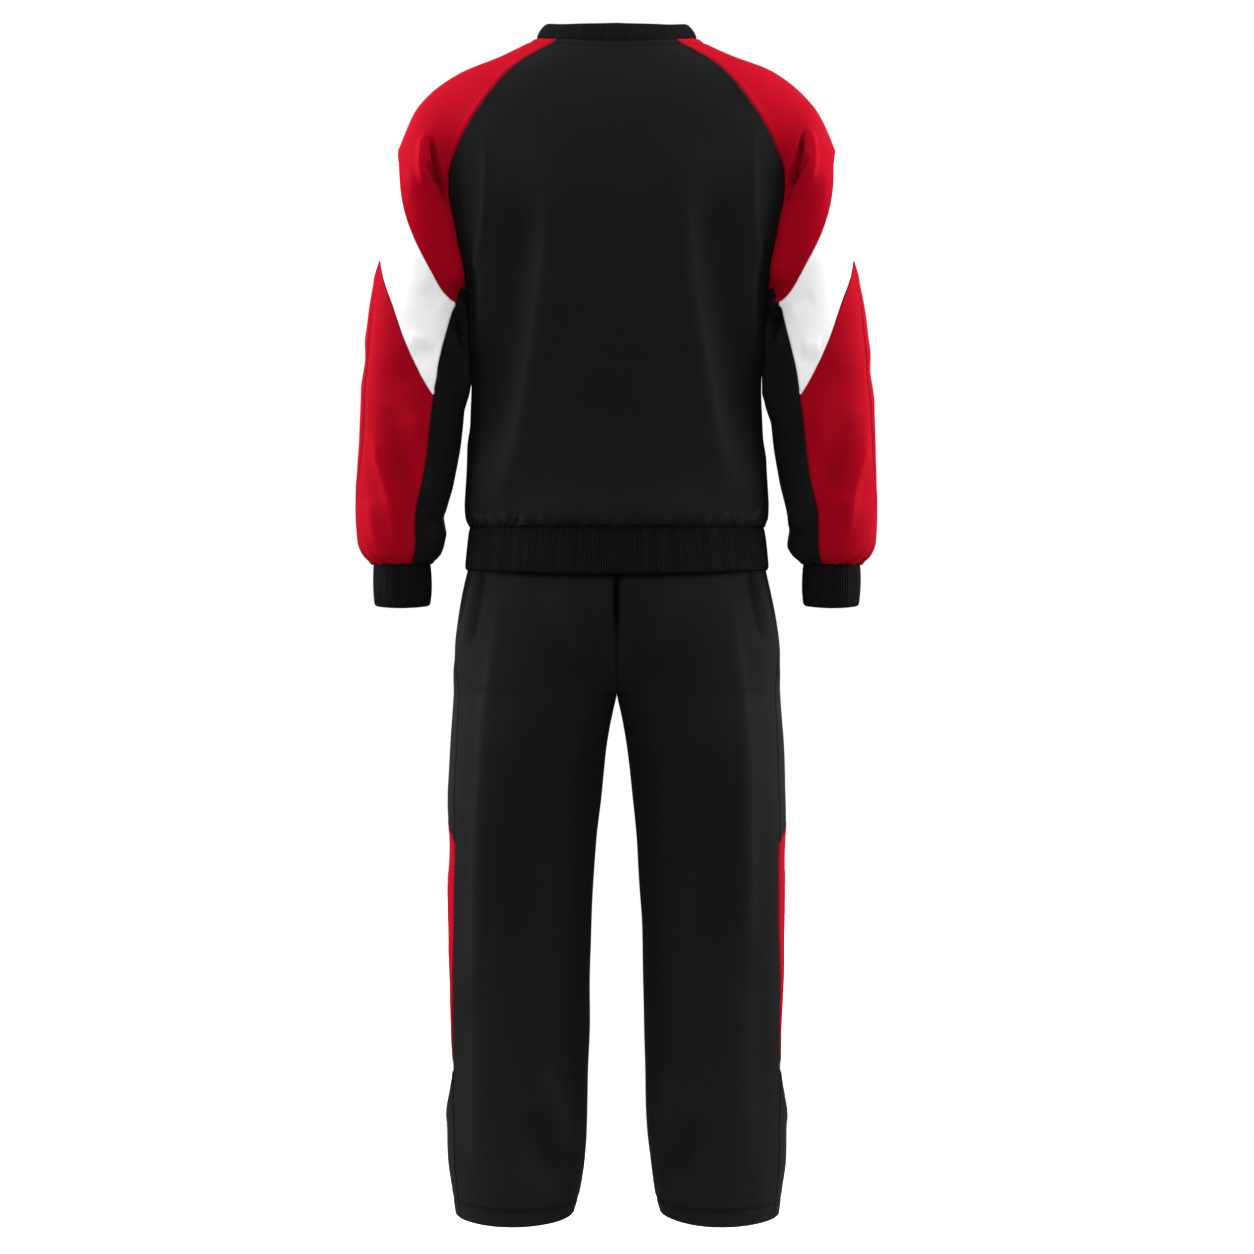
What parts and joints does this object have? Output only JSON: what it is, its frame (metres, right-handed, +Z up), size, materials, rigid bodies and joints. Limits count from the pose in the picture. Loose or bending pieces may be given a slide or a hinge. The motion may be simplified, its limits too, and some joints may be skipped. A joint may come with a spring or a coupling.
{
  "type": "tracksuit",
  "caption": "Two-piece fleece tracksuit in its worn, hollow form: raglan crew-neck sweatshirt with chevron sleeve bands over straight trousers with side panels.",
  "frame": {"origin": "middle of the neck opening, level with the collar seam at the side of the neck, where the wearer's shoulders hold the sweatshirt", "axes": "+Z up, +Y out of the suit's back, which the picture shows, -Y out of its front, +X towards the wearer's left"},
  "size_m": [0.679, 0.248, 1.5493],
  "materials": {
    "black_fleece": "matt black cotton-blend fleece, smooth knit face",
    "red_fleece": "matt red cotton-blend fleece, smooth knit face",
    "white_fleece": "matt white cotton-blend fleece, smooth knit face",
    "black_rib": "matt black one-by-one rib knit"
  },
  "bodies": {
    "root": {"back_body": "black_fleece", "front_body": "black_fleece", "collar": "black_rib", "hem_band": "black_rib", "waistband": "black_fleece", "left_sleeve_upper_back": "red_fleece", "left_sleeve_upper_front": "red_fleece", "left_sleeve_band_back": "white_fleece", "left_sleeve_band_front": "white_fleece", "left_sleeve_lower_back": "red_fleece", "left_sleeve_lower_front": "red_fleece", "left_sleeve_under": "black_fleece", "left_cuff": "black_rib", "left_leg_back": "black_fleece", "left_leg_front": "black_fleece", "left_leg_side_top": "black_fleece", "left_leg_side_red": "red_fleece", "left_leg_side_white": "white_fleece", "left_leg_side_bottom": "black_fleece", "right_sleeve_upper_back": "red_fleece", "right_sleeve_upper_front": "red_fleece", "right_sleeve_band_back": "white_fleece", "right_sleeve_band_front": "white_fleece", "right_sleeve_lower_back": "red_fleece", "right_sleeve_lower_front": "red_fleece", "right_sleeve_under": "black_fleece", "right_cuff": "black_rib", "right_leg_back": "black_fleece", "right_leg_front": "black_fleece", "right_leg_side_top": "black_fleece", "right_leg_side_red": "red_fleece", "right_leg_side_white": "white_fleece", "right_leg_side_bottom": "black_fleece"}
  },
  "joints": []
}
